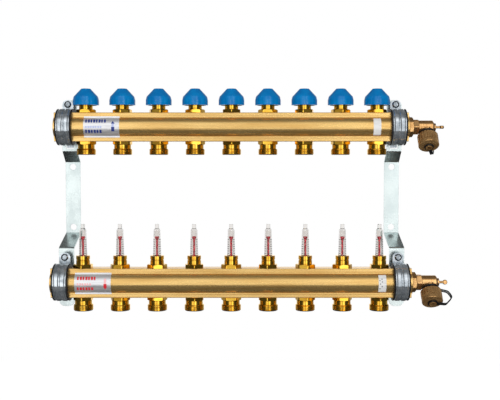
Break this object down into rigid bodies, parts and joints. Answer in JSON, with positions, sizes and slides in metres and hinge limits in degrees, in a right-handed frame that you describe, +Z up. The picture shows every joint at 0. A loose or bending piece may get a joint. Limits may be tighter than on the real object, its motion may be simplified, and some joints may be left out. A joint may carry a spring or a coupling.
{
  "type": "heating manifold",
  "caption": "Floor heating manifold: a return bar with blue hand caps over a supply bar with flow meters, on two wall brackets with rubber-lined clamps and drain cocks.",
  "frame": {"origin": "centre of the four wall holes, in the wall plane", "axes": "+X right along the bars, +Z up, the front faces -Y"},
  "size_m": [0.5381, 0.108, 0.3005],
  "materials": {
    "brass": "drawn, satin",
    "fitting_brass": "turned, polished",
    "bronze": "turned, dull",
    "bronze_cap": "ribbed, dull",
    "zinc_sheet": "zinc plated, pale",
    "zinc_band": "zinc plated, bright",
    "screw_steel": "zinc plated",
    "spindle_steel": "ground",
    "black_rubber": "moulded",
    "black_plastic": "moulded",
    "blue_plastic": "moulded",
    "red_plastic": "moulded",
    "clear_glass": "clear",
    "silver_film": "silver film",
    "white_film": "white film"
  },
  "bodies": {
    "root": {"return_bar": "brass", "supply_bar": "brass", "left_bracket": "zinc_sheet", "right_bracket": "zinc_sheet", "return_left_clamp": "zinc_band", "return_right_clamp": "zinc_band", "supply_left_clamp": "zinc_band", "supply_right_clamp": "zinc_band", "clamp_liners": "black_rubber", "clamp_screws": "screw_steel", "return_bonnets": "fitting_brass", "spindle_seals": "black_rubber", "return_outlets": "fitting_brass", "supply_outlets": "fitting_brass", "meter_bodies": "fitting_brass", "sight_glasses": "clear_glass", "return_end_plug": "bronze", "return_drain_body": "bronze", "supply_end_plug": "bronze", "supply_drain_body": "bronze", "drain_glands": "bronze", "drain_seals": "black_rubber", "return_label": "silver_film", "supply_label": "silver_film", "bar_stickers": "white_film"},
    "spindle_1": {"spindle_1": "spindle_steel"},
    "cap_1": {"cap_1": "blue_plastic"},
    "float_1": {"float_1": "red_plastic"},
    "spindle_2": {"spindle_2": "spindle_steel"},
    "cap_2": {"cap_2": "blue_plastic"},
    "float_2": {"float_2": "red_plastic"},
    "spindle_3": {"spindle_3": "spindle_steel"},
    "cap_3": {"cap_3": "blue_plastic"},
    "float_3": {"float_3": "red_plastic"},
    "spindle_4": {"spindle_4": "spindle_steel"},
    "cap_4": {"cap_4": "blue_plastic"},
    "float_4": {"float_4": "red_plastic"},
    "spindle_5": {"spindle_5": "spindle_steel"},
    "cap_5": {"cap_5": "blue_plastic"},
    "float_5": {"float_5": "red_plastic"},
    "spindle_6": {"spindle_6": "spindle_steel"},
    "cap_6": {"cap_6": "blue_plastic"},
    "float_6": {"float_6": "red_plastic"},
    "spindle_7": {"spindle_7": "spindle_steel"},
    "cap_7": {"cap_7": "blue_plastic"},
    "float_7": {"float_7": "red_plastic"},
    "spindle_8": {"spindle_8": "spindle_steel"},
    "cap_8": {"cap_8": "blue_plastic"},
    "float_8": {"float_8": "red_plastic"},
    "spindle_9": {"spindle_9": "spindle_steel"},
    "cap_9": {"cap_9": "blue_plastic"},
    "float_9": {"float_9": "red_plastic"},
    "return_drain_stem": {"return_drain_stem": "bronze"},
    "return_drain_strap": {"return_drain_strap": "black_plastic", "return_drain_gasket": "black_rubber"},
    "return_drain_cap": {"return_drain_cap": "bronze_cap"},
    "supply_drain_stem": {"supply_drain_stem": "bronze"},
    "supply_drain_strap": {"supply_drain_strap": "black_plastic", "supply_drain_gasket": "black_rubber"},
    "supply_drain_cap": {"supply_drain_cap": "bronze_cap"}
  },
  "joints": [
    {"name": "spindle_1_stroke", "type": "slide", "parent": "root", "child": "spindle_1", "axis": [0, 0, 1], "range_m": [-0.003, 0], "stiffness_N_per_m": 2000},
    {"name": "cap_1_turn", "type": "hinge", "parent": "spindle_1", "child": "cap_1", "pos_m": [-0.2, -0.047, 0.13775], "axis": [0, 0, 1], "range_deg": [-720, 0]},
    {"name": "float_1_travel", "type": "slide", "parent": "root", "child": "float_1", "axis": [0, 0, -1], "range_m": [0, 0.02], "stiffness_N_per_m": 20, "springref_m": -0.002},
    {"name": "spindle_2_stroke", "type": "slide", "parent": "root", "child": "spindle_2", "axis": [0, 0, 1], "range_m": [-0.003, 0], "stiffness_N_per_m": 2000},
    {"name": "cap_2_turn", "type": "hinge", "parent": "spindle_2", "child": "cap_2", "pos_m": [-0.15, -0.047, 0.13775], "axis": [0, 0, 1], "range_deg": [-720, 0]},
    {"name": "float_2_travel", "type": "slide", "parent": "root", "child": "float_2", "axis": [0, 0, -1], "range_m": [0, 0.02], "stiffness_N_per_m": 20, "springref_m": -0.002},
    {"name": "spindle_3_stroke", "type": "slide", "parent": "root", "child": "spindle_3", "axis": [0, 0, 1], "range_m": [-0.003, 0], "stiffness_N_per_m": 2000},
    {"name": "cap_3_turn", "type": "hinge", "parent": "spindle_3", "child": "cap_3", "pos_m": [-0.1, -0.047, 0.13775], "axis": [0, 0, 1], "range_deg": [-720, 0]},
    {"name": "float_3_travel", "type": "slide", "parent": "root", "child": "float_3", "axis": [0, 0, -1], "range_m": [0, 0.02], "stiffness_N_per_m": 20, "springref_m": -0.002},
    {"name": "spindle_4_stroke", "type": "slide", "parent": "root", "child": "spindle_4", "axis": [0, 0, 1], "range_m": [-0.003, 0], "stiffness_N_per_m": 2000},
    {"name": "cap_4_turn", "type": "hinge", "parent": "spindle_4", "child": "cap_4", "pos_m": [-0.05, -0.047, 0.13775], "axis": [0, 0, 1], "range_deg": [-720, 0]},
    {"name": "float_4_travel", "type": "slide", "parent": "root", "child": "float_4", "axis": [0, 0, -1], "range_m": [0, 0.02], "stiffness_N_per_m": 20, "springref_m": -0.002},
    {"name": "spindle_5_stroke", "type": "slide", "parent": "root", "child": "spindle_5", "axis": [0, 0, 1], "range_m": [-0.003, 0], "stiffness_N_per_m": 2000},
    {"name": "cap_5_turn", "type": "hinge", "parent": "spindle_5", "child": "cap_5", "pos_m": [0, -0.047, 0.13775], "axis": [0, 0, 1], "range_deg": [-720, 0]},
    {"name": "float_5_travel", "type": "slide", "parent": "root", "child": "float_5", "axis": [0, 0, -1], "range_m": [0, 0.02], "stiffness_N_per_m": 20, "springref_m": -0.002},
    {"name": "spindle_6_stroke", "type": "slide", "parent": "root", "child": "spindle_6", "axis": [0, 0, 1], "range_m": [-0.003, 0], "stiffness_N_per_m": 2000},
    {"name": "cap_6_turn", "type": "hinge", "parent": "spindle_6", "child": "cap_6", "pos_m": [0.05, -0.047, 0.13775], "axis": [0, 0, 1], "range_deg": [-720, 0]},
    {"name": "float_6_travel", "type": "slide", "parent": "root", "child": "float_6", "axis": [0, 0, -1], "range_m": [0, 0.02], "stiffness_N_per_m": 20, "springref_m": -0.002},
    {"name": "spindle_7_stroke", "type": "slide", "parent": "root", "child": "spindle_7", "axis": [0, 0, 1], "range_m": [-0.003, 0], "stiffness_N_per_m": 2000},
    {"name": "cap_7_turn", "type": "hinge", "parent": "spindle_7", "child": "cap_7", "pos_m": [0.1, -0.047, 0.13775], "axis": [0, 0, 1], "range_deg": [-720, 0]},
    {"name": "float_7_travel", "type": "slide", "parent": "root", "child": "float_7", "axis": [0, 0, -1], "range_m": [0, 0.02], "stiffness_N_per_m": 20, "springref_m": -0.002},
    {"name": "spindle_8_stroke", "type": "slide", "parent": "root", "child": "spindle_8", "axis": [0, 0, 1], "range_m": [-0.003, 0], "stiffness_N_per_m": 2000},
    {"name": "cap_8_turn", "type": "hinge", "parent": "spindle_8", "child": "cap_8", "pos_m": [0.15, -0.047, 0.13775], "axis": [0, 0, 1], "range_deg": [-720, 0]},
    {"name": "float_8_travel", "type": "slide", "parent": "root", "child": "float_8", "axis": [0, 0, -1], "range_m": [0, 0.02], "stiffness_N_per_m": 20, "springref_m": -0.002},
    {"name": "spindle_9_stroke", "type": "slide", "parent": "root", "child": "spindle_9", "axis": [0, 0, 1], "range_m": [-0.003, 0], "stiffness_N_per_m": 2000},
    {"name": "cap_9_turn", "type": "hinge", "parent": "spindle_9", "child": "cap_9", "pos_m": [0.2, -0.047, 0.13775], "axis": [0, 0, 1], "range_deg": [-720, 0]},
    {"name": "float_9_travel", "type": "slide", "parent": "root", "child": "float_9", "axis": [0, 0, -1], "range_m": [0, 0.02], "stiffness_N_per_m": 20, "springref_m": -0.002},
    {"name": "return_drain_stem_turn", "type": "hinge", "parent": "root", "child": "return_drain_stem", "pos_m": [0.27, -0.047, 0.098], "axis": [1, 0, 0], "range_deg": [0, 90]},
    {"name": "return_drain_strap_slide", "type": "slide", "parent": "root", "child": "return_drain_strap", "axis": [0, -0.5736, -0.8192], "range_m": [0, 0.0018]},
    {"name": "return_drain_cap_turn", "type": "hinge", "parent": "return_drain_strap", "child": "return_drain_cap", "pos_m": [0.268, -0.05847, 0.08162], "axis": [0, -0.5736, -0.8192], "range_deg": [0, 360]},
    {"name": "supply_drain_stem_turn", "type": "hinge", "parent": "root", "child": "supply_drain_stem", "pos_m": [0.27, -0.077, -0.112], "axis": [1, 0, 0], "range_deg": [-90, 0]},
    {"name": "supply_drain_strap_slide", "type": "slide", "parent": "root", "child": "supply_drain_strap", "axis": [0, -0.6691, -0.7431], "range_m": [0, 0.0018]},
    {"name": "supply_drain_cap_turn", "type": "hinge", "parent": "supply_drain_strap", "child": "supply_drain_cap", "pos_m": [0.268, -0.09038, -0.12686], "axis": [0, -0.6691, -0.7431], "range_deg": [0, 360]}
  ],
  "couplings": [
    {"joint": "cap_1_turn", "follows": "spindle_1_stroke", "rad_per_m": 4188.8},
    {"joint": "cap_2_turn", "follows": "spindle_2_stroke", "rad_per_m": 4188.8},
    {"joint": "cap_3_turn", "follows": "spindle_3_stroke", "rad_per_m": 4188.8},
    {"joint": "cap_4_turn", "follows": "spindle_4_stroke", "rad_per_m": 4188.8},
    {"joint": "cap_5_turn", "follows": "spindle_5_stroke", "rad_per_m": 4188.8},
    {"joint": "cap_6_turn", "follows": "spindle_6_stroke", "rad_per_m": 4188.8},
    {"joint": "cap_7_turn", "follows": "spindle_7_stroke", "rad_per_m": 4188.8},
    {"joint": "cap_8_turn", "follows": "spindle_8_stroke", "rad_per_m": 4188.8},
    {"joint": "cap_9_turn", "follows": "spindle_9_stroke", "rad_per_m": 4188.8},
    {"joint": "return_drain_cap_turn", "follows": "return_drain_strap_slide", "rad_per_m": 3490.7},
    {"joint": "supply_drain_cap_turn", "follows": "supply_drain_strap_slide", "rad_per_m": 3490.7}
  ]
}
